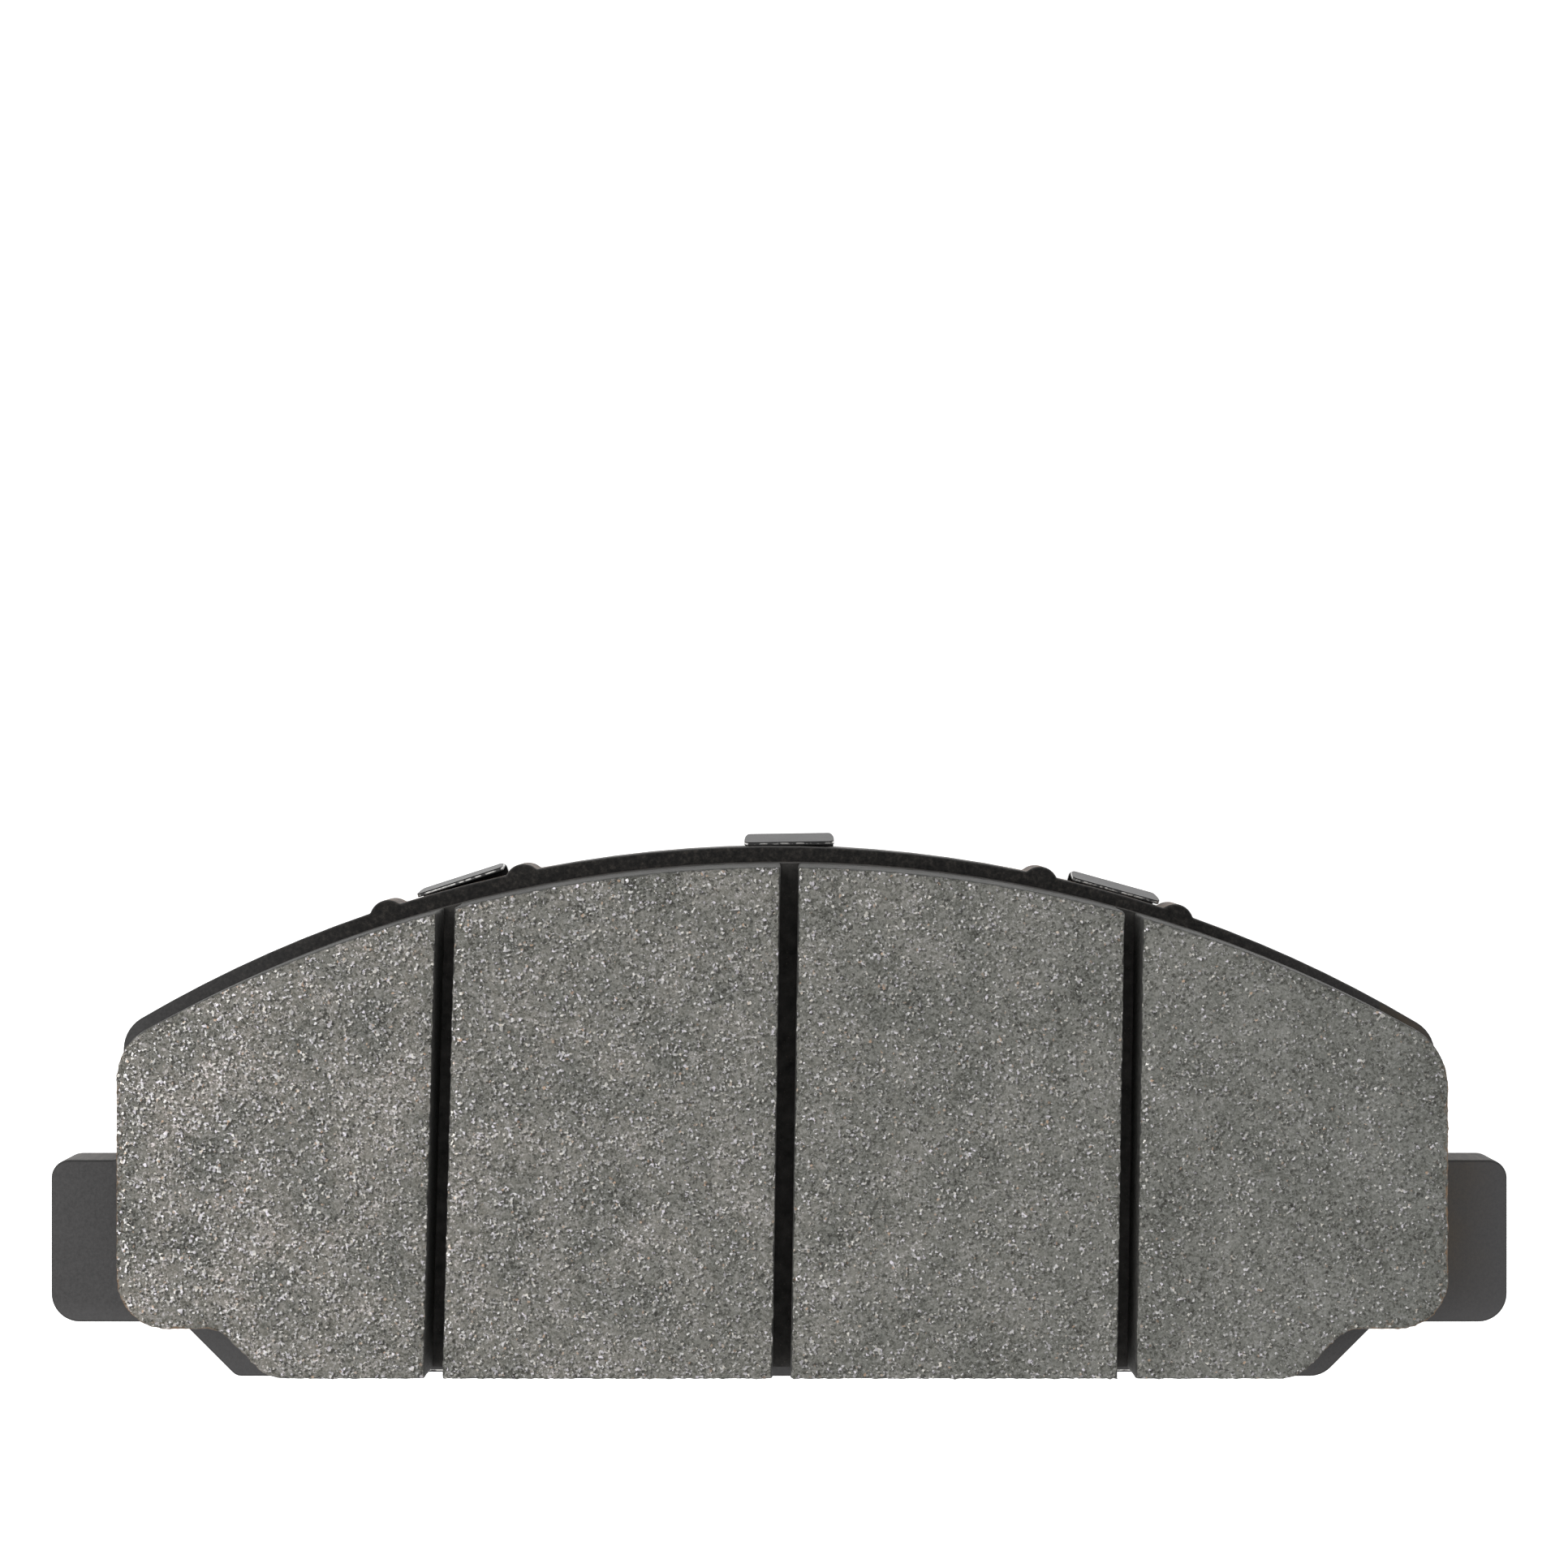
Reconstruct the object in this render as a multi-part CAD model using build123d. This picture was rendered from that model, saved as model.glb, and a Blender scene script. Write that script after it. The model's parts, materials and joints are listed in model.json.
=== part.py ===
from build123d import *
import os
from math import asin, cos, degrees, radians, sin, sqrt

# Disc brake pad, lying on its back: friction face up (+Z), arched edge towards +Y.
# All sizes are in millimetres. Heights along Y are given from the straight lower edge
# of the friction face, and place() moves the finished pieces to the middle of the pad.

# Stack of layers, from the surface that the pad lies on
coat_thickness = 0.15
core_thickness = 0.2
plate_thickness = 6.2
film_thickness = 0.1
underlayer_thickness = 2.9
segment_thickness = 7.5

core_floor = coat_thickness
inner_coat_floor = core_floor + core_thickness
plate_floor = inner_coat_floor + coat_thickness
film_floor = plate_floor + plate_thickness
underlayer_floor = film_floor + film_thickness
segment_floor = underlayer_floor + underlayer_thickness
friction_face = segment_floor + segment_thickness

# Friction block
friction_half_length = 85.7
friction_height = 65.9
friction_arc_radius = 170.0
friction_arc_shift = -0.2
friction_step_height = 6.4
friction_slope_foot = 66.2
friction_left_radius = 7.0
friction_right_radius = 8.5
friction_lower_radius = 6.5
friction_slope_radius = 5.0
friction_inner_radius = 4.0
friction_draft = 2.0
friction_offset = 0.45

# Slots across the friction block
slot_width = 2.3
slot_places = ((-44.1, 1.5), (0.4, 0.9), (44.8, 0.9))
slot_length = 100.0

# Backing plate
ear_reach = 97.0
ear_top = 26.5
ear_bottom = 4.9
ear_top_radius = 2.4
ear_bottom_radius = 3.8
ear_root_radius = 1.6
relief_depth = 0.5
relief_start = 82.3
relief_end = 81.0
shoulder_half_length = 87.4
shoulder_radius = 4.8
plate_margin = 2.4
plate_arc_radius = 167.3
plate_arc_shift = -0.5
plate_bottom = -2.35
plate_slope_foot = 72.35
plate_left_radius = 1.8
plate_right_radius = 4.0
plate_edge_radius = 0.35
plate_top = friction_height + plate_margin
plate_arc = (plate_arc_radius, plate_top, plate_arc_shift)

# Round nubs on the arched edge and shallow notches in the lower edge, which hold the shim
nub_places = (-52.55, -34.35, 35.0, 53.2)
nub_width = 4.1
nub_height = 1.07
nub_root_radius = 0.4
notch_centre = 45.8
notch_floor_half = 7.4
notch_ramp = 1.4
notch_depth = 0.88
notch_radius = 0.9
notch_floor = plate_bottom + notch_depth

# Through holes in the plate that the moulded underlayer fills
hole_radius = 5.0
hole_places = ((-64.0, 22.0), (-22.0, 17.0), (-22.0, 47.0), (22.0, 17.0), (22.0, 47.0), (64.0, 22.0))

# Shim sheet and its bent tabs
shim_offset = 0.85
shim_inset = 2.2
shim_half_length = 84.0
shim_bottom = -0.3
shim_step_height = 7.4
shim_corner_radius = 3.0
tab_width = 12.0
tab_tip_height = 5.6
tab_bend_radius = 1.0
tab_corner_radius = 0.8
tab_root_radius = 0.7
tab_relief_radius = 0.8
tab_overlap = 1.5
# Each arch tab: place, lean towards the plate, twist off the arc, and gap to the plate at its tip
arch_tabs = ((-42.55, 6.5, 3.3, 0.28), (1.35, 12.8, 1.5, 0.08), (45.0, 10.5, 0.3, 0.03))
lower_tab_places = (-45.1, 45.9)
lower_tab_lean = 8.2
lower_tab_gap = 0.03
shim_slope_foot = plate_slope_foot - plate_bottom + shim_bottom - 1.4 * shim_inset
shim_thickness = core_thickness + 2 * coat_thickness


def tab_reach(lean, gap):
    """Distance from the plate's edge to the centre of a tab's bend, and the length of its straight leg."""
    angle = radians(lean)
    leg = (tab_tip_height - tab_bend_radius * (1 + sin(angle))) / cos(angle)
    tip = gap + shim_thickness
    return tip - tab_bend_radius * cos(angle) + leg * sin(angle), leg


# Overall height, from the root of the lower tabs to the root of the middle arch tab
_, middle_tab_lean, _, middle_tab_gap = arch_tabs[1]
pad_top = plate_top + tab_reach(middle_tab_lean, middle_tab_gap)[0] + tab_bend_radius
pad_bottom = notch_floor - tab_reach(lower_tab_lean, lower_tab_gap)[0] - tab_bend_radius


def place(shape):
    return Pos(0, -(pad_top + pad_bottom) / 2, 0) * shape


def save(shape, node):
    shape = place(shape)
    shape.label = node
    export_step(shape, "parts/" + node + ".step")


def arch_height(arc, x):
    """Height of an arc, given as (radius, top, shift), at a place along the pad."""
    radius, top, shift = arc
    return top - radius + sqrt(radius**2 - (x - shift) ** 2)


def arched_outline(right_side, half_length, arc):
    """Closed outline: the right side's corners from the bottom up, the same on the left, under an arc."""
    left_side = [(-x, y) for x, y in reversed(right_side)]
    left_end = (-half_length, arch_height(arc, -half_length))
    right_end = (half_length, arch_height(arc, half_length))
    _, top, shift = arc
    edges = Polyline(left_end, *left_side, *right_side, right_end)
    edges += ThreePointArc(right_end, (shift, top), left_end)
    return make_face(edges.edges())


def round_corners(sketch, corners):
    """Rounds each corner, given as (x, y, radius)."""
    for x, y, radius in corners:
        corner = sketch.vertices().sort_by_distance((x, y, 0))[0]
        sketch = fillet(corner, radius)
    return sketch


def both_sides(corners):
    return [(side * x, y, radius) for x, y, radius in corners for side in (-1, 1)]


def friction_outline():
    slope_top = friction_slope_foot + friction_step_height
    arc = (friction_arc_radius, friction_height, friction_arc_shift)
    right_side = [
        (friction_slope_foot, 0),
        (slope_top, friction_step_height),
        (friction_half_length, friction_step_height),
    ]
    corners = both_sides([
        (friction_slope_foot, 0, friction_slope_radius),
        (slope_top, friction_step_height, friction_inner_radius),
        (friction_half_length, friction_step_height, friction_lower_radius),
    ])
    left_height = arch_height(arc, -friction_half_length)
    right_height = arch_height(arc, friction_half_length)
    corners.append((-friction_half_length, left_height, friction_left_radius))
    corners.append((friction_half_length, right_height, friction_right_radius))
    outline = round_corners(arched_outline(right_side, friction_half_length, arc), corners)
    return Pos(friction_offset, 0, 0) * outline


def drafted_block():
    """The whole moulded block, a little larger at its foot than at the friction face."""
    height = friction_face - film_floor
    return extrude(Pos(0, 0, friction_face) * friction_outline(), -height, taper=-friction_draft)


def layer(block, floor, thickness):
    slab = Pos(0, 0, floor + thickness / 2) * Box(400, 400, thickness)
    return block & slab


def slots():
    cuts = []
    for x, lean in slot_places:
        middle = Pos(x + friction_offset, friction_height / 2, segment_floor + segment_thickness)
        cuts.append(middle * Rot(0, 0, -lean) * Box(slot_width, slot_length, 2 * segment_thickness))
    return cuts


def hole_plugs(floor, height):
    return [Pos(x, y, floor + height / 2) * Cylinder(hole_radius, height) for x, y in hole_places]


def on_arch(x, twist=0.0):
    """Frame on the plate's arched edge, with its local Y pointing away from the plate."""
    angle = asin((x - plate_arc_shift) / plate_arc_radius)
    return Location((x, arch_height(plate_arc, x), 0), (0, 0, twist - degrees(angle)))


def nub(x):
    radius = (nub_width**2 / 4 + nub_height**2) / (2 * nub_height)
    return on_arch(x) * Pos(0, nub_height - radius) * Circle(radius)


def plate_outline():
    relief_height = ear_bottom + relief_depth
    slope_top = plate_slope_foot + relief_height - plate_bottom
    notch_mouth = notch_floor_half + notch_ramp
    right_side = [
        (notch_centre - notch_mouth, plate_bottom),
        (notch_centre - notch_floor_half, notch_floor),
        (notch_centre + notch_floor_half, notch_floor),
        (notch_centre + notch_mouth, plate_bottom),
        (plate_slope_foot, plate_bottom),
        (slope_top, relief_height),
        (relief_end, relief_height),
        (relief_start, ear_bottom),
        (ear_reach, ear_bottom),
        (ear_reach, ear_top),
        (shoulder_half_length, ear_top),
    ]
    corners = [(x, y, notch_radius) for x, y in right_side[:4]]
    corners += [
        (slope_top, relief_height, 0.3),
        (relief_end, relief_height, 0.3),
        (relief_start, ear_bottom, 0.6),
        (ear_reach, ear_bottom, ear_bottom_radius),
        (ear_reach, ear_top, ear_top_radius),
        (shoulder_half_length, ear_top, ear_root_radius),
    ]
    corners = both_sides(corners)
    for x in (-shoulder_half_length, shoulder_half_length):
        corners.append((x, arch_height(plate_arc, x), shoulder_radius))
    corners.append((-plate_slope_foot, plate_bottom, plate_left_radius))
    corners.append((plate_slope_foot, plate_bottom, plate_right_radius))
    outline = round_corners(arched_outline(right_side, shoulder_half_length, plate_arc), corners)
    outline = outline + [nub(x) for x in nub_places]
    roots = []
    for centre in nub_places:
        for x in (centre - nub_width / 2, centre + nub_width / 2):
            roots.append((x, arch_height(plate_arc, x), nub_root_radius))
    return round_corners(outline, roots)


def backing_plate():
    blank = extrude(Pos(0, 0, plate_floor) * plate_outline(), plate_thickness)
    rims = blank.faces().sort_by(Axis.Z)[0].edges() + blank.faces().sort_by(Axis.Z)[-1].edges()
    blank = fillet(rims, plate_edge_radius)
    return blank - hole_plugs(plate_floor, plate_thickness)


def underlayer(block):
    slab = layer(block, underlayer_floor, underlayer_thickness)
    return slab + hole_plugs(plate_floor, underlayer_floor - plate_floor + 1.0)


def tab_frames():
    """Frame, lean and tip gap of each tab, with its local Y pointing away from the plate's edge."""
    frames = [(on_arch(x, twist), lean, gap) for x, lean, twist, gap in arch_tabs]
    for x in lower_tab_places:
        frames.append((Location((x, notch_floor, 0), (0, 0, 180)), lower_tab_lean, lower_tab_gap))
    return frames


def sheet_outline():
    slope_top = shim_slope_foot + shim_step_height - shim_bottom
    arc = (plate_arc_radius - shim_inset, plate_top - shim_inset, plate_arc_shift - shim_offset)
    right_side = [
        (shim_slope_foot, shim_bottom),
        (slope_top, shim_step_height),
        (shim_half_length, shim_step_height),
    ]
    corners = both_sides([(x, y, shim_corner_radius) for x, y in right_side])
    for x in (-shim_half_length, shim_half_length):
        corners.append((x, arch_height(arc, x), shim_corner_radius))
    outline = round_corners(arched_outline(right_side, shim_half_length, arc), corners)
    outline = Pos(shim_offset, 0) * outline
    for frame, _, _ in tab_frames():
        for side in (-1, 1):
            root = frame * Pos(side * (tab_width / 2 + tab_relief_radius), -shim_inset)
            outline = outline - root * Circle(tab_relief_radius)
    return outline


def tab_line(depth, lean, gap):
    """Line through a tab's thickness at the given depth under its outer surface."""
    centre, leg = tab_reach(lean, gap)
    radius = tab_bend_radius - depth
    angle = radians(lean)
    middle = radians((lean - 90) / 2)
    foot = (-shim_inset - tab_overlap, depth)
    bend_start = (centre, depth)
    bend_middle = (centre + radius * cos(middle), tab_bend_radius + radius * sin(middle))
    bend_end = (centre + radius * cos(angle), tab_bend_radius + radius * sin(angle))
    tip = (bend_end[0] - leg * sin(angle), bend_end[1] + leg * cos(angle))
    return foot, bend_start, bend_middle, bend_end, tip


def tab(lean, gap, floor, thickness):
    """One layer of a tab: flat root, bend and leaning leg, with rounded corners at the bend and tip."""
    foot, start, middle, end, tip = tab_line(floor, lean, gap)
    foot_2, start_2, middle_2, end_2, tip_2 = tab_line(floor + thickness, lean, gap)
    edges = Line(foot, start) + ThreePointArc(start, middle, end) + Line(end, tip) + Line(tip, tip_2)
    edges += Line(tip_2, end_2) + ThreePointArc(end_2, middle_2, start_2)
    edges += Line(start_2, foot_2) + Line(foot_2, foot)
    section = Plane.YZ * make_face(edges.edges())
    strip = extrude(section, tab_width / 2, both=True)
    window = Pos(0, tab_tip_height / 2) * RectangleRounded(tab_width, tab_tip_height, tab_corner_radius)
    window += Pos(0, tab_tip_height / 4) * Rectangle(tab_width, tab_tip_height / 2)
    strip = strip & extrude(Plane.XZ * window, 10, both=True)
    plan_length = 20
    outermost = tab_reach(lean, gap)[0] + tab_bend_radius
    plan = Pos(0, outermost - plan_length / 2) * RectangleRounded(tab_width, plan_length, tab_root_radius)
    return strip & extrude(plan, 10, both=True)


def shim_layer(floor, thickness):
    sheet = extrude(Pos(0, 0, floor) * sheet_outline(), thickness)
    for frame, lean, gap in tab_frames():
        sheet = sheet + frame * tab(lean, gap, floor, thickness)
    return sheet


os.makedirs("parts", exist_ok=True)
block = drafted_block()
save(backing_plate(), "backing_plate")
save(layer(block, film_floor, film_thickness) - hole_plugs(film_floor, film_thickness), "bond_film")
save(underlayer(block), "underlayer")
segments = (layer(block, segment_floor, segment_thickness) - slots()).solids().sort_by(Axis.X)
for number, segment in enumerate(segments, start=1):
    save(segment, "friction_segment_" + str(number))
save(shim_layer(inner_coat_floor, coat_thickness), "shim_inner_coat")
save(shim_layer(core_floor, core_thickness), "shim_core")
save(shim_layer(0, coat_thickness), "shim_outer_coat")
friction_edge = -(pad_top + pad_bottom) / 2
print("overall height", round(pad_top - pad_bottom, 2), "friction edge at", round(friction_edge, 2))
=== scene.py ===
import json
from math import radians

import bpy
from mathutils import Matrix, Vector

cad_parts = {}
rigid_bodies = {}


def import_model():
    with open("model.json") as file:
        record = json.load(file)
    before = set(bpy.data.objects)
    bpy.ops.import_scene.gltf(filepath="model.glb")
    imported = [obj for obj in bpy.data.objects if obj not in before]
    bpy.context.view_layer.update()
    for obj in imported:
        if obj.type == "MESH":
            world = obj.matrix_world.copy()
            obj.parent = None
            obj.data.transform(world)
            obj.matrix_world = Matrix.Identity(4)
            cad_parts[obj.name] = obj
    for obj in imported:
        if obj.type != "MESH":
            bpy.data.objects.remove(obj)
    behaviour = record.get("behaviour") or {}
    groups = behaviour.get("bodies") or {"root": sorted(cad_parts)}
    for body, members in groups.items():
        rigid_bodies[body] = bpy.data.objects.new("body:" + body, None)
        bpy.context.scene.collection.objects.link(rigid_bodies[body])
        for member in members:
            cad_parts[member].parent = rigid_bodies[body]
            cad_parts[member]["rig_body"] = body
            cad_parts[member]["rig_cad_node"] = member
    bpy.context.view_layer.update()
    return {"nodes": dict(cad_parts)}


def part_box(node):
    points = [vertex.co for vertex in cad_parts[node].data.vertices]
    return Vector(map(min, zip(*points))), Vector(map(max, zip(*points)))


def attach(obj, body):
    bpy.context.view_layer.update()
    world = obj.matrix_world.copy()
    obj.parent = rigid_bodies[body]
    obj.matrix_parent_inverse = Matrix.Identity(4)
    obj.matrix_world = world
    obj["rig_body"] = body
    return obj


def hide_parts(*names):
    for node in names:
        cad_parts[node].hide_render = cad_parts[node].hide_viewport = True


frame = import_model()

mm = 0.001

copies = {
    "weld": 0.002 * mm,
    "flatAngle": 0.3,
    "bendAngle": 35,
    "flatWeight": 80,
}


def deselectAll():
    for thing in bpy.context.selected_objects:
        thing.select_set(False)


def pick(piece):
    # makes one object the only selected and active one
    deselectAll()
    piece.select_set(True)
    bpy.context.view_layer.objects.active = piece


def copyOfNode(node, name):
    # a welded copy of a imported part, with its flat sides made whole again
    pick(frame["nodes"][node])
    bpy.ops.object.duplicate()
    piece = bpy.context.active_object
    piece.name = name
    piece.data.name = name
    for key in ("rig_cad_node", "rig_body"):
        del piece[key]
    pick(piece)
    bpy.ops.object.mode_set(mode="EDIT")
    bpy.ops.mesh.select_all(action="SELECT")
    bpy.ops.mesh.remove_doubles(threshold=copies["weld"])
    bpy.ops.mesh.dissolve_limited(angle_limit=radians(copies["flatAngle"]))
    bpy.ops.mesh.select_all(action="DESELECT")
    bpy.ops.object.mode_set(mode="OBJECT")
    return piece


def applyAll(piece):
    pick(piece)
    for modifier in list(piece.modifiers):
        bpy.ops.object.modifier_apply(modifier=modifier.name)


def smoothBends(piece):
    # smooth shading on bends only, with normals that keep the large faces flat
    pick(piece)
    bpy.ops.object.shade_smooth_by_angle(angle=radians(copies["bendAngle"]))
    flat = piece.modifiers.new("flatNormals", "WEIGHTED_NORMAL")
    flat.keep_sharp = True
    flat.weight = copies["flatWeight"]
    applyAll(piece)


def dress(piece, material, nodes):
    piece.data.materials.clear()
    piece.data.materials.append(material)
    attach(piece, "root")
    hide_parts(*nodes)


class Wire:
    # one output of a shader node; plain arithmetic on it adds Math nodes
    def __init__(self, sheet, socket):
        self.sheet = sheet
        self.socket = socket

    def math(self, operation, first, second):
        return self.sheet.node("ShaderNodeMath", {"operation": operation}, {0: first, 1: second})

    def __add__(self, other):
        return self.math("ADD", self, other)

    def __sub__(self, other):
        return self.math("SUBTRACT", self, other)

    def __mul__(self, other):
        return self.math("MULTIPLY", self, other)

    def __gt__(self, other):
        return self.math("GREATER_THAN", self, other)

    def __rsub__(self, other):
        return self.math("SUBTRACT", other, self)

    __radd__ = __add__
    __rmul__ = __mul__


class Sheet:
    # one material and the nodes drawn in it, with places measured in millimetres
    def __init__(self, name):
        self.material = bpy.data.materials.new(name)
        self.material.use_nodes = True
        self.tree = self.material.node_tree
        self.tree.nodes.clear()
        place = self.node("ShaderNodeTexCoord", {}, {}, "Object")
        self.place = self.scaled(place, 1 / mm)

    def node(self, kind, settings, inputs, output=0):
        made = self.tree.nodes.new(kind)
        for key, value in settings.items():
            if key == "stops":
                self.setStops(made.color_ramp, value)
            else:
                setattr(made, key, value)
        for key, value in inputs.items():
            if isinstance(value, Wire):
                self.tree.links.new(value.socket, made.inputs[key])
            else:
                made.inputs[key].default_value = value
        return Wire(self, made.outputs[output])

    def setStops(self, ramp, stops):
        while len(ramp.elements) < len(stops):
            ramp.elements.new(0.5)
        for element, (position, colour) in zip(ramp.elements, stops):
            element.position = position
            element.color = colour

    def scaled(self, vector, scale):
        return self.node("ShaderNodeVectorMath", {"operation": "SCALE"}, {0: vector, "Scale": scale})

    def shifted(self, vector, shift):
        return self.node("ShaderNodeVectorMath", {"operation": "ADD"}, {0: vector, 1: shift})

    def turned(self, angle, stretch, shift=(0, 0, 0)):
        # the place turned about the pad's thickness, then squeezed along each side
        inner = {"Vector": self.place, "Rotation": (0, 0, radians(angle)), "Location": shift}
        turned = self.node("ShaderNodeMapping", {"vector_type": "POINT"}, inner)
        return self.node("ShaderNodeVectorMath", {"operation": "MULTIPLY"}, {0: turned, 1: stretch})

    def noise(self, scale, detail=2.0, rough=0.5, vector=None, output="Fac"):
        inputs = {"Vector": vector or self.place, "Scale": scale, "Detail": detail, "Roughness": rough}
        return self.node("ShaderNodeTexNoise", {}, inputs, output)

    def cells(self, scale, output, vector):
        return self.node("ShaderNodeTexVoronoi", {}, {"Vector": vector, "Scale": scale}, output)

    def between(self, value, low, high):
        # 0 at low, 1 at high, and a straight rise in between; low may be the larger number
        inputs = {"Value": value, "From Min": low, "From Max": high}
        return self.node("ShaderNodeMapRange", {"clamp": True}, inputs)

    def blend(self, factor, first, second, how="MIX"):
        settings = {"data_type": "RGBA", "blend_type": how}
        return self.node("ShaderNodeMix", settings, {0: factor, 6: first, 7: second}, 2)

    def tone(self, value, stops):
        return self.node("ShaderNodeValToRGB", {"stops": stops}, {"Fac": value}, "Color")

    def facing(self):
        # how far the surface faces up: 1 on top, 0 on a wall, -1 underneath
        normal = self.node("ShaderNodeNewGeometry", {}, {}, "Normal")
        return self.node("ShaderNodeSeparateXYZ", {}, {0: normal}, "Z")

    def axis(self, letter):
        return self.node("ShaderNodeSeparateXYZ", {}, {0: self.place}, letter)

    def away(self, letter):
        # distance from the middle along one axis
        return self.node("ShaderNodeMath", {"operation": "ABSOLUTE"}, {0: self.axis(letter)})

    def bump(self, height, strength, distance):
        inputs = {"Height": height, "Strength": strength, "Distance": distance * mm}
        return self.node("ShaderNodeBump", {}, inputs)

    def parts(self, colour):
        # the three random values that a cell's colour holds
        channels = ("Red", "Green", "Blue")
        return [self.node("ShaderNodeSeparateColor", {}, {0: colour}, channel) for channel in channels]

    def clamp(self, value):
        return self.node("ShaderNodeClamp", {}, {0: value})

    def surface(self, **inputs):
        named = {key.replace("_", " "): value for key, value in inputs.items()}
        return self.node("ShaderNodeBsdfPrincipled", {}, named)

    def finish(self, surface):
        output = self.tree.nodes.new("ShaderNodeOutputMaterial")
        self.tree.links.new(surface.socket, output.inputs["Surface"])
        return self.material


camera = {"x": 0.65, "y": 42.96, "height": 307.2, "lens": 51.8}

cameraData = bpy.data.cameras.new("camera")
cameraData.lens = camera["lens"]
cameraData.sensor_width = 36
cameraObject = bpy.data.objects.new("camera", cameraData)
cameraObject.location = (camera["x"] * mm, camera["y"] * mm, camera["height"] * mm)
bpy.context.scene.collection.objects.link(cameraObject)
bpy.context.scene.camera = cameraObject
print("camera placed")

studio = {
    "floorSize": 6.0,
    "floorDrop": 0.05 * mm,
    "floorColour": (0.9, 0.9, 0.9, 1.0),
    "floorSpeck": (0.92, 0.92, 0.92, 1.0),
    "floorGlow": 0.75,
    "domeStrength": 1.0,
    "keySize": 0.8,
    "keyPower": 7.0,
    "keyPlace": (-0.8, 0.05, 0.9),
}


def floorMaterial():
    sheet = Sheet("floorPaper")
    speck = sheet.noise(0.01, 3)
    colour = sheet.blend(speck, studio["floorColour"], studio["floorSpeck"])
    return sheet.finish(sheet.surface(
        Base_Color=colour, Roughness=0.9, Specular_IOR_Level=0.1,
        Emission_Color=colour, Emission_Strength=studio["floorGlow"]))


def studioSetup():
    deselectAll()
    bpy.ops.mesh.primitive_plane_add(size=studio["floorSize"], location=(0, 0, -studio["floorDrop"]))
    floor = bpy.context.active_object
    floor.name = "floor"
    floor.data.materials.append(floorMaterial())
    world = bpy.data.worlds.new("studio")
    bpy.context.scene.world = world
    world.use_nodes = True
    world.node_tree.nodes["Background"].inputs["Color"].default_value = (1, 1, 1, 1)
    world.node_tree.nodes["Background"].inputs["Strength"].default_value = studio["domeStrength"]
    light = bpy.data.lights.new("softBox", "AREA")
    light.size = studio["keySize"]
    light.energy = studio["keyPower"]
    lamp = bpy.data.objects.new("softBox", light)
    lamp.location = studio["keyPlace"]
    lamp.rotation_euler = (-Vector(studio["keyPlace"])).to_track_quat("-Z", "Y").to_euler()
    bpy.context.scene.collection.objects.link(lamp)
    bpy.context.scene.view_settings.view_transform = "Standard"


studioSetup()
print("floor and lights placed")


friction = {
    "voxel": 0.25 * mm,
    "rimBite": 0.34 * mm,
    "rimGrain": 0.7 * mm,
    # end of the left-to-right ramp that carries the painted side light and the warmer tint
    "leftRampEnd": 92,
    "burrZone": (64, 78),
    "burrTop": (10, 4),
    "smallGrain": 4.7,
    "largeGrain": 2.5,
    "chipGrain": 3.2,
    "poreGrain": 1.2,
    "fibreTurns": ((24, 0), (97, 11), (152, 23)),
    # painted shadow beside each chip
    "chipShadow": (0.026, 0.025, 0.022, 1),
    # painted shade in the pits
    "shadedPore": (0.024, 0.023, 0.020, 1),
    "fibre": (0.52, 0.51, 0.51, 1),
    "burr": (0.165, 0.095, 0.045, 1),
    "skin": ((0.026, 0.026, 0.024, 1), (0.058, 0.057, 0.053, 1)),
}
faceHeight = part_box("friction_segment_2")[1].z
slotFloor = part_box("friction_segment_2")[0].z


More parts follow.
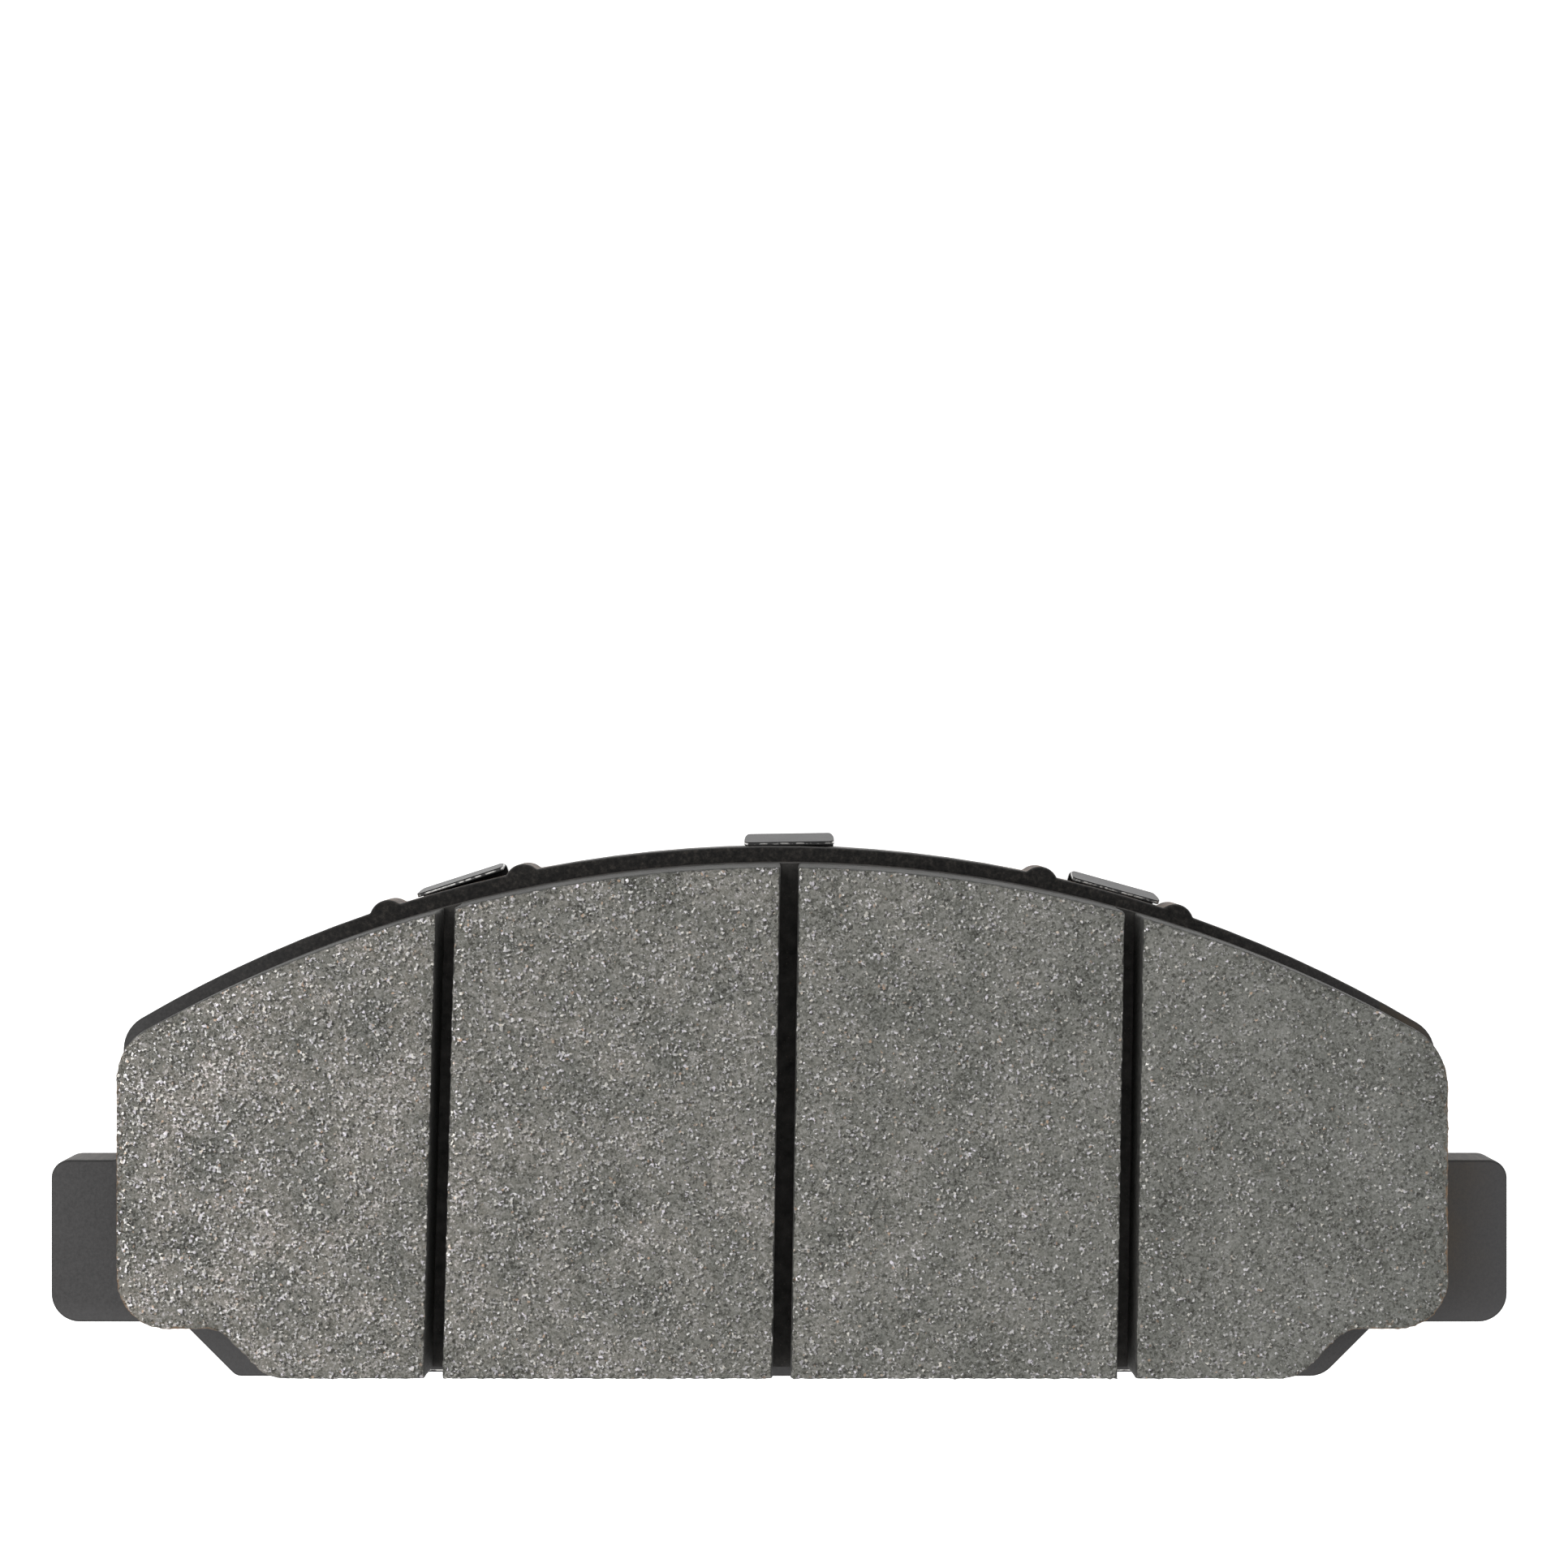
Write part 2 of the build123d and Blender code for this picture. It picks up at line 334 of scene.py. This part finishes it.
def frictionMaterial():
    sheet = Sheet("frictionCompound")
    # painted light: a ramp that is 1 on the left and 0 on the right; it paints the left side lighter, with
    # stronger grain contrast, glints and fibre sheen, and also warms the tint there
    leftLightAndTint = sheet.between(sheet.axis("X"), friction["leftRampEnd"], -friction["leftRampEnd"])
    cloud = sheet.noise(0.11, 4, 0.62)
    patch = sheet.noise(0.7, 4, 0.65)
    rough = sheet.between(sheet.noise(0.42, 3, 0.6), 0.40, 0.60)
    top = sheet.between(sheet.facing(), 0.7, 0.92)
    stir = sheet.scaled(sheet.noise(3.2, 2, 0.5, None, "Color"), 0.3)
    stirred = sheet.shifted(sheet.place, stir)

    # packed grains of two sizes, each grain with a value and a tint of its own
    small, smallTint, _ = sheet.parts(sheet.cells(friction["smallGrain"], "Color", stirred))
    large, _, _ = sheet.parts(sheet.cells(friction["largeGrain"], "Color", stirred))
    drift = (patch - 0.5) * 0.36 + (cloud - 0.5) * 0.74
    # grain contrast rises on the left: partly painted relief light from the key side
    contrast = (0.44 + 0.24 * leftLightAndTint) * (0.80 + 0.42 * rough)
    grain = (small * 0.55 + large * 0.45 - 0.5) * contrast
    # the last term paints the left side lighter: painted light
    value = 0.5 + grain + drift * (0.6 + 0.4 * leftLightAndTint) + (leftLightAndTint - 0.5) * 0.10
    colour = sheet.tone(value, [
        (0.14, (0.022, 0.021, 0.017, 1)),
        (0.30, (0.066, 0.066, 0.056, 1)),
        (0.45, (0.115, 0.116, 0.103, 1)),
        (0.60, (0.158, 0.157, 0.142, 1)),
        (0.74, (0.213, 0.210, 0.202, 1)),
        (0.86, (0.400, 0.388, 0.390, 1)),
        (0.96, (0.650, 0.625, 0.650, 1)),
    ])
    warm = leftLightAndTint * sheet.between(cloud + smallTint * 0.2, 0.35, 0.75)
    warmth = sheet.blend(warm, (0.99, 1, 1.02, 1), (1.06, 0.99, 0.93, 1))
    colour = sheet.blend(1.0, colour, warmth, "MULTIPLY")

    # bare metal: chips in loose clusters, more and brighter on the left and on their shiniest cells as a
    # painted glint, each with a painted shadow at its lower right
    cluster = sheet.between(sheet.noise(0.65, 4, 0.62), 0.42, 0.60)
    odds = 0.02 + cluster * 0.15 + (0.02 + cluster * 0.13) * leftLightAndTint
    lower = sheet.shifted(stirred, (-0.25, 0.21, 0))
    chipShadowLuck = sheet.parts(sheet.cells(friction["chipGrain"], "Color", lower))[2]
    chipShadow = sheet.between(chipShadowLuck + odds * 1.15, 0.99, 1.01)
    colour = sheet.blend(chipShadow * (0.48 + 0.30 * leftLightAndTint), colour, friction["chipShadow"])
    chipShine, chipTint, chipLuck = sheet.parts(sheet.cells(friction["chipGrain"], "Color", stirred))
    chip = sheet.between(chipLuck + odds, 0.99, 1.01)
    chipColour = sheet.tone(chipTint, [
        (0.0, (0.86, 0.81, 0.90, 1)),
        (0.5, (0.80, 0.79, 0.78, 1)),
        (0.90, (0.80, 0.76, 0.69, 1)),
        (0.97, (0.55, 0.38, 0.27, 1)),
    ])
    colour = sheet.blend(chip * (0.15 + 0.20 * leftLightAndTint + 0.48 * chipShine * chipShine), colour, chipColour)

    # short fibres lying in three directions
    fibre = 0
    for angle, shift in friction["fibreTurns"]:
        line = sheet.noise(1.0, 1, 0.4, sheet.turned(angle, (1.4, 9.5, 1.0), (shift, shift, 0)))
        fibre = sheet.between(line, 0.71, 0.77) + fibre
    fibre = sheet.clamp(fibre)
    # fibres are painted stronger on the left: painted sheen
    colour = sheet.blend(fibre * (0.25 + 0.4 * leftLightAndTint), colour, friction["fibre"])

    # dark pores: pits painted with shade
    shadedPore = 1 - sheet.between(sheet.cells(friction["poreGrain"], "Distance", stirred), 0.15, 0.27)
    poreLuck = sheet.parts(sheet.cells(friction["poreGrain"], "Color", stirred))[2]
    shadedPore = shadedPore * (poreLuck > 0.5) * (0.5 + 0.5 * rough)
    colour = sheet.blend(shadedPore * 0.7, colour, friction["shadedPore"])

    # moulded skin on the walls
    skin = sheet.tone(sheet.noise(0.9, 4, 0.65), list(zip((0.3, 0.7), friction["skin"])))
    colour = sheet.blend(top, skin, colour)

    # a thin brown burr along the rims at the two ends
    facing = sheet.facing()
    rim = sheet.between(facing, 0.2, 0.5) * sheet.between(facing, 0.97, 0.85)
    ends = sheet.between(sheet.away("X"), *friction["burrZone"])
    ends = ends * sheet.between(sheet.axis("Y"), *friction["burrTop"])
    colour = sheet.blend(rim * ends * sheet.between(patch, 0.35, 0.55) * 0.8, colour, friction["burr"])

    metal = sheet.clamp(chip + fibre) * top
    height = value * 0.9 + chip * 0.5 - chipShadow * 0.7 - shadedPore * 0.9
    return sheet.finish(sheet.surface(
        Base_Color=colour, Roughness=0.66 - metal * 0.34, Metallic=metal * 0.6, Specular_IOR_Level=0.25,
        Normal=sheet.bump(height, 0.8, 0.16)))


def deselectFaces(piece):
    pick(piece)
    bpy.ops.object.mode_set(mode="EDIT")
    bpy.ops.mesh.select_mode(type="FACE")
    bpy.ops.mesh.select_all(action="DESELECT")
    bpy.ops.object.mode_set(mode="OBJECT")


def selectFlat(piece, height, up):
    # selects the faces of a piece that lie flat at the given height
    deselectFaces(piece)
    for face in piece.data.polygons:
        face.select = abs(face.center.z - height) < 0.03 * mm and face.normal.z * up > 0.98


def flattenPast(piece, height, up):
    # presses back every point that lies past the given height
    deselectFaces(piece)
    bpy.ops.object.mode_set(mode="EDIT")
    bpy.ops.mesh.select_mode(type="VERT")
    bpy.ops.object.mode_set(mode="OBJECT")
    for point in piece.data.vertices:
        point.select = (point.co.z - height) * up > 0
    bpy.ops.object.mode_set(mode="EDIT")
    bpy.ops.transform.resize(value=(1, 1, 0), center_override=(0, 0, height))
    bpy.ops.object.mode_set(mode="OBJECT")


def rimGroup(piece):
    # weights the ground face's rim, strongest on the rim itself
    group = piece.vertex_groups.new(name="rim")
    for grow, weight in ((3, 0.25), (2, 0.5), (1, 0.8), (0, 1.0)):
        selectFlat(piece, faceHeight, 1)
        bpy.ops.object.mode_set(mode="EDIT")
        bpy.ops.mesh.region_to_loop()
        for step in range(grow):
            bpy.ops.mesh.select_more()
        bpy.context.tool_settings.vertex_group_weight = weight
        bpy.ops.object.vertex_group_assign()
        bpy.ops.object.mode_set(mode="OBJECT")
    return group.name


def frictionPiece(number, material):
    node = "friction_segment_" + str(number)
    piece = copyOfNode(node, "frictionBlock" + str(number))
    remesh = piece.modifiers.new("fineGrid", "REMESH")
    remesh.mode = "VOXEL"
    remesh.voxel_size = friction["voxel"]
    remesh.use_smooth_shade = True
    applyAll(piece)
    crumbs = bpy.data.textures.new("crumbs" + str(number), "CLOUDS")
    crumbs.noise_scale = friction["rimGrain"]
    crumbs.noise_depth = 3
    crumbs.contrast = 2.2
    bite = piece.modifiers.new("crumbledRim", "DISPLACE")
    bite.texture = crumbs
    bite.vertex_group = rimGroup(piece)
    bite.strength = -friction["rimBite"]
    bite.mid_level = 0.0
    applyAll(piece)
    flattenPast(piece, faceHeight, 1)
    flattenPast(piece, slotFloor, -1)
    selectFlat(piece, slotFloor, -1)
    bpy.ops.object.mode_set(mode="EDIT")
    bpy.ops.mesh.dissolve_faces(use_verts=False)
    bpy.ops.object.mode_set(mode="OBJECT")
    dress(piece, material, [node])
    triangles = sum(len(face.vertices) - 2 for face in piece.data.polygons)
    print("friction block", number, "has", triangles, "triangles")


frictionFinish = frictionMaterial()
for number in range(1, 5):
    frictionPiece(number, frictionFinish)
print("friction blocks made")


underlayer = {
    "dark": (0.021, 0.0205, 0.0195, 1),
    "pale": (0.056, 0.053, 0.050, 1),
    "glint": (0.16, 0.14, 0.12, 1),
    "roughness": 0.8,
}


def underlayerMaterial():
    sheet = Sheet("underlayerCompound")
    cloud = sheet.noise(0.6, 4, 0.6)
    glint = sheet.between(sheet.noise(3.5, 1), 0.68, 0.74)
    colour = sheet.tone(cloud, [(0.3, underlayer["dark"]), (0.7, underlayer["pale"])])
    colour = sheet.blend(glint * 0.35, colour, underlayer["glint"])
    return sheet.finish(sheet.surface(
        Base_Color=colour, Roughness=underlayer["roughness"], Specular_IOR_Level=0.12,
        Normal=sheet.bump(cloud + glint, 0.4, 0.1)))


underlayerPiece = copyOfNode("underlayer", "underlayerSlab")
dress(underlayerPiece, underlayerMaterial(), ["underlayer"])

adhesive = {
    "dark": (0.022, 0.013, 0.007, 1),
    "pale": (0.075, 0.036, 0.015, 1),
    "roughness": 0.5,
}


def adhesiveMaterial():
    sheet = Sheet("curedAdhesive")
    cloud = sheet.noise(0.8, 3, 0.6)
    colour = sheet.tone(cloud, [(0.3, adhesive["dark"]), (0.7, adhesive["pale"])])
    return sheet.finish(sheet.surface(Base_Color=colour, Roughness=adhesive["roughness"]))


filmPiece = copyOfNode("bond_film", "adhesiveFilm")
dress(filmPiece, adhesiveMaterial(), ["bond_film"])
print("underlayer and adhesive made")


plate = {
    "coat": ((0.0215, 0.0205, 0.0205, 1), (0.0370, 0.0355, 0.0355, 1), (0.0520, 0.0500, 0.0500, 1)),
    # painted shade and soot for the margin beside the block
    "sootAndShade": ((0.006, 0.006, 0.006, 1), (0.016, 0.015, 0.014, 1), (0.040, 0.036, 0.032, 1)),
    "wall": ((0.024, 0.0215, 0.0195, 1), (0.060, 0.052, 0.045, 1)),
    "rust": (0.135, 0.088, 0.060, 1),
    "haze": (0.075, 0.052, 0.026, 1),
    "lowerEdge": (0.075, 0.073, 0.074, 1),
    "rightEar": (0.050, 0.049, 0.051, 1),
    "edgeLine": (0.008, 0.0075, 0.007, 1),
    "earStart": 80,
    "edgePale": (-26.0, -28.7),
    "hazeAcross": (96.0, 87.5),
    "hazeAlong": (-30.0, -14.0),
    "nubZone": (29, 33, 57, 54),
    "sootAndShadeSpan": (58, 92),
    "sootAndShadeFloor": -20,
    "roughness": 0.56,
}


def plateMaterial():
    sheet = Sheet("powderCoat")
    orange = sheet.noise(2.6, 3, 0.6)
    cloud = sheet.noise(0.08, 3, 0.6)
    mottle = sheet.noise(1.3, 4, 0.65)
    across = sheet.axis("X")
    along = sheet.away("X")
    earStart = plate["earStart"]
    facing = sheet.facing()
    colour = sheet.tone(cloud * 0.3 + orange * 0.7, list(zip((0.25, 0.50, 0.75), plate["coat"])))
    low = sheet.between(sheet.axis("Y"), *plate["edgePale"])
    colour = sheet.blend(low * 0.35, colour, plate["lowerEdge"])
    colour = sheet.blend((across > earStart) * 0.5, colour, plate["rightEar"])
    haze = sheet.between(across, *plate["hazeAcross"]) * (across > earStart)
    haze = haze * sheet.between(sheet.axis("Y"), *plate["hazeAlong"])
    colour = sheet.blend(haze * sheet.between(cloud + orange * 0.3, 0.45, 0.8) * 0.7, colour, plate["haze"])

    # blanked walls under the coat: drawn marks through the thickness, and a dark line at each edge
    wall = 1 - sheet.between(facing, 0.2, 0.5)
    shear = sheet.noise(1.0, 3, 0.6, sheet.turned(0, (1.6, 1.6, 0.25)))
    wallColour = sheet.tone(shear, list(zip((0.35, 0.7), plate["wall"])))
    colour = sheet.blend(wall, colour, wallColour)
    nubs = sheet.between(along, *plate["nubZone"][:2]) * sheet.between(along, *plate["nubZone"][2:])
    nubs = nubs * wall * sheet.between(mottle, 0.42, 0.56)
    nubs = nubs * (sheet.axis("Y") > 0)
    colour = sheet.blend(nubs * 0.75, colour, plate["rust"])
    edge = sheet.between(facing, 0.35, 0.6) * sheet.between(facing, 0.998, 0.95)
    colour = sheet.blend(edge * 0.75, colour, plate["edgeLine"])
    normal = sheet.bump(orange + shear * wall, 0.5, 0.10)
    bare = sheet.surface(
        Base_Color=colour, Roughness=plate["roughness"] + cloud * 0.12, Specular_IOR_Level=0.34,
        Normal=normal)

    # the margin beside the block is painted with shade and soot, mottled
    sootAndShade = sheet.tone(mottle * 0.7 + orange * 0.3, list(zip((0.32, 0.52, 0.72), plate["sootAndShade"])))
    shadedSootySurface = sheet.surface(Base_Color=sootAndShade, Roughness=0.8, Specular_IOR_Level=0.15, Normal=normal)
    sootAndShadeMask = (1 - sheet.between(along + cloud * 6, *plate["sootAndShadeSpan"])) * sheet.between(facing, 0.7, 0.95)
    sootAndShadeMask = sootAndShadeMask * (sheet.axis("Y") > plate["sootAndShadeFloor"])
    mixed = sheet.node("ShaderNodeMixShader", {}, {0: sootAndShadeMask, 1: bare, 2: shadedSootySurface})
    return sheet.finish(mixed)


platePiece = copyOfNode("backing_plate", "steelPlate")
smoothBends(platePiece)
dress(platePiece, plateMaterial(), ["backing_plate"])
print("backing plate made")


shimCoat = {
    "dark": (0.018, 0.0175, 0.017, 1),
    "pale": (0.034, 0.033, 0.032, 1),
    "cutEdge": (0.006, 0.006, 0.006, 1),
    "roughness": 0.40,
}


def coatMaterial():
    sheet = Sheet("shimCoat")
    cloud = sheet.noise(0.3, 4, 0.6)
    fine = sheet.noise(6.0, 2)
    cut = sheet.between(sheet.facing(), 0.75, 0.9)
    colour = sheet.tone(cloud, [(0.3, shimCoat["dark"]), (0.7, shimCoat["pale"])])
    colour = sheet.blend(cut, colour, shimCoat["cutEdge"])
    return sheet.finish(sheet.surface(
        Base_Color=colour, Roughness=shimCoat["roughness"] + fine * 0.12 + cut * 0.3, Specular_IOR_Level=0.35,
        Normal=sheet.bump(fine, 0.2, 0.03)))


shimCore = {
    "steel": (0.60, 0.59, 0.57, 1),
    "smear": (0.03, 0.03, 0.03, 1),
    "roughness": 0.3,
}


def steelMaterial():
    sheet = Sheet("shimSteel")
    smear = sheet.between(sheet.noise(1.1, 3), 0.44, 0.56)
    colour = sheet.blend(smear, shimCore["steel"], shimCore["smear"])
    return sheet.finish(sheet.surface(Base_Color=colour, Metallic=1 - smear, Roughness=shimCore["roughness"]))


shimCoatFinish = coatMaterial()
for node, name in (("shim_inner_coat", "shimInnerCoat"), ("shim_outer_coat", "shimOuterCoat")):
    coat = copyOfNode(node, name)
    smoothBends(coat)
    dress(coat, shimCoatFinish, [node])
core = copyOfNode("shim_core", "shimCore")
smoothBends(core)
dress(core, steelMaterial(), ["shim_core"])
print("shim made")
